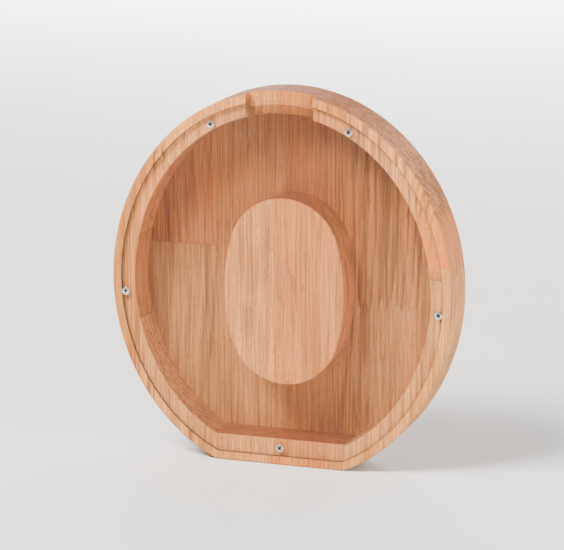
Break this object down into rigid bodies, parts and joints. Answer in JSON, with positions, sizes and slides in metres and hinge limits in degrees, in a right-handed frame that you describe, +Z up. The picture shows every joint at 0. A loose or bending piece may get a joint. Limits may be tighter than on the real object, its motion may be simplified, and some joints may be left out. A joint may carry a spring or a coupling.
{
  "type": "money box",
  "caption": "Wooden money box shaped as a letter O, with a clear screwed-on front, a coin slot at the top and a flat foot.",
  "frame": {"origin": "middle of the flat foot, halfway through the board's thickness", "axes": "+X to the right seen from the front, +Y from the front to the back, +Z up"},
  "size_m": [0.206, 0.03, 0.22],
  "materials": {
    "stave_left_edge": "planed and sanded, thin satin oil",
    "stave_left_top": "planed and sanded, thin satin oil",
    "stave_left_middle": "planed and sanded, thin satin oil",
    "stave_left_bottom": "planed and sanded, thin satin oil",
    "stave_middle_left": "planed and sanded, thin satin oil",
    "stave_middle_right": "planed and sanded, thin satin oil",
    "stave_narrow": "planed and sanded, thin satin oil",
    "stave_right_top": "planed and sanded, thin satin oil",
    "stave_right_bottom": "planed and sanded, thin satin oil",
    "stave_right_edge_top": "planed and sanded, thin satin oil",
    "stave_right_edge_bottom": "planed and sanded, thin satin oil",
    "front_window": "clear polished acrylic",
    "screw": "bright nickel plate"
  },
  "bodies": {
    "box": {"stave_left_edge": "stave_left_edge", "stave_left_top": "stave_left_top", "stave_left_middle": "stave_left_middle", "stave_left_bottom": "stave_left_bottom", "stave_middle_left": "stave_middle_left", "stave_middle_right": "stave_middle_right", "stave_narrow": "stave_narrow", "stave_right_top": "stave_right_top", "stave_right_bottom": "stave_right_bottom", "stave_right_edge_top": "stave_right_edge_top", "stave_right_edge_bottom": "stave_right_edge_bottom"},
    "window": {"front_window": "front_window"},
    "screw_top_left": {"screw_top_left": "screw"},
    "screw_top_right": {"screw_top_right": "screw"},
    "screw_left": {"screw_left": "screw"},
    "screw_right": {"screw_right": "screw"},
    "screw_bottom": {"screw_bottom": "screw"}
  },
  "joints": [
    {"name": "window_lift_off", "type": "slide", "parent": "box", "child": "window", "axis": [0, -1, 0], "range_m": [0, 0.04]},
    {"name": "screw_top_left_out", "type": "slide", "parent": "window", "child": "screw_top_left", "axis": [0, -1, 0], "range_m": [0, 0.012]},
    {"name": "screw_top_right_out", "type": "slide", "parent": "window", "child": "screw_top_right", "axis": [0, -1, 0], "range_m": [0, 0.012]},
    {"name": "screw_left_out", "type": "slide", "parent": "window", "child": "screw_left", "axis": [0, -1, 0], "range_m": [0, 0.012]},
    {"name": "screw_right_out", "type": "slide", "parent": "window", "child": "screw_right", "axis": [0, -1, 0], "range_m": [0, 0.012]},
    {"name": "screw_bottom_out", "type": "slide", "parent": "window", "child": "screw_bottom", "axis": [0, -1, 0], "range_m": [0, 0.012]}
  ]
}
